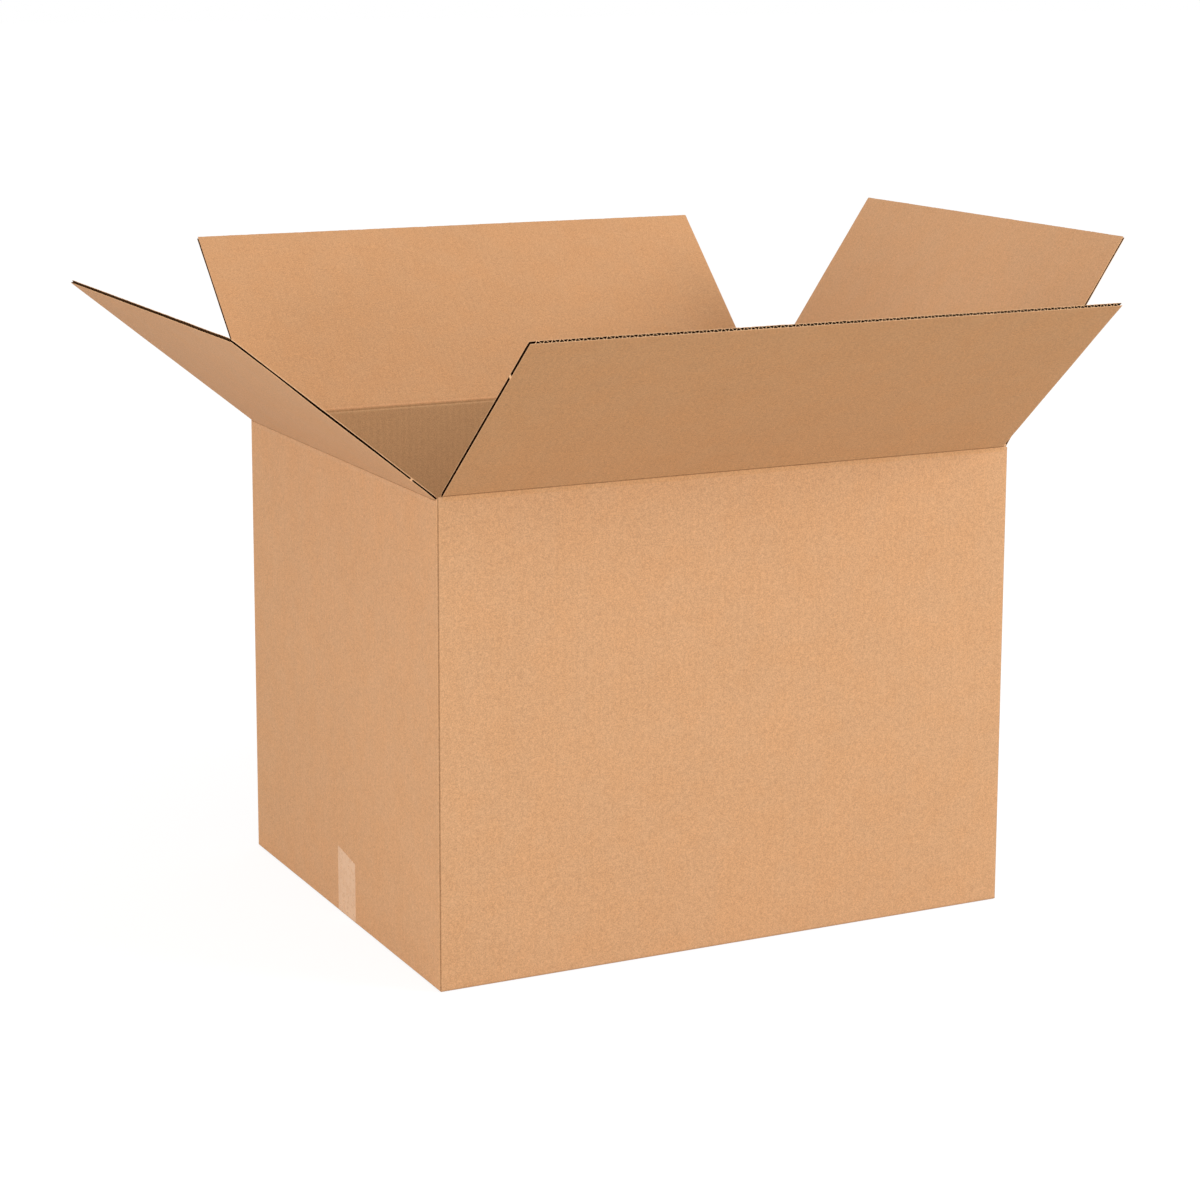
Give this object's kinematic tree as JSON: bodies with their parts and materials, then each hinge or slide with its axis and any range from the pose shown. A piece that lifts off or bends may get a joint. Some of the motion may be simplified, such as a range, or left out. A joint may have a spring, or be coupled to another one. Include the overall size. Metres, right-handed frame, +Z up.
{
  "type": "cardboard box",
  "caption": "Open corrugated shipping carton with hinged top flaps, folded base, inside glue tab and packing tape over the base seam.",
  "frame": {"origin": "on the floor under the middle of the carton's base, on the underside of the base tape", "axes": "+X along the long walls to the right, +Y from the front wall to the back wall, +Z up"},
  "size_m": [0.9871, 0.8971, 0.7007],
  "materials": {
    "wall_board": "matte",
    "flap_board": "matte",
    "packing_tape": "satin"
  },
  "bodies": {
    "carton": {"carton_body": "wall_board", "bottom_tape": "packing_tape"},
    "front_flap": {"front_flap": "flap_board"},
    "back_flap": {"back_flap": "flap_board"},
    "left_flap": {"left_flap": "flap_board"},
    "right_flap": {"right_flap": "flap_board"}
  },
  "joints": [
    {"name": "front_flap_fold", "type": "hinge", "parent": "carton", "child": "front_flap", "pos_m": [0, -0.258, 0.4892], "axis": [1, 0, 0], "range_deg": [-139, 126]},
    {"name": "back_flap_fold", "type": "hinge", "parent": "carton", "child": "back_flap", "pos_m": [0, 0.258, 0.4892], "axis": [-1, 0, 0], "range_deg": [-136.5, 128.5]},
    {"name": "left_flap_fold", "type": "hinge", "parent": "carton", "child": "left_flap", "pos_m": [-0.3215, 0, 0.485], "axis": [0, -1, 0], "range_deg": [-141, 124]},
    {"name": "right_flap_fold", "type": "hinge", "parent": "carton", "child": "right_flap", "pos_m": [0.3215, 0, 0.485], "axis": [0, 1, 0], "range_deg": [-124, 141]}
  ]
}
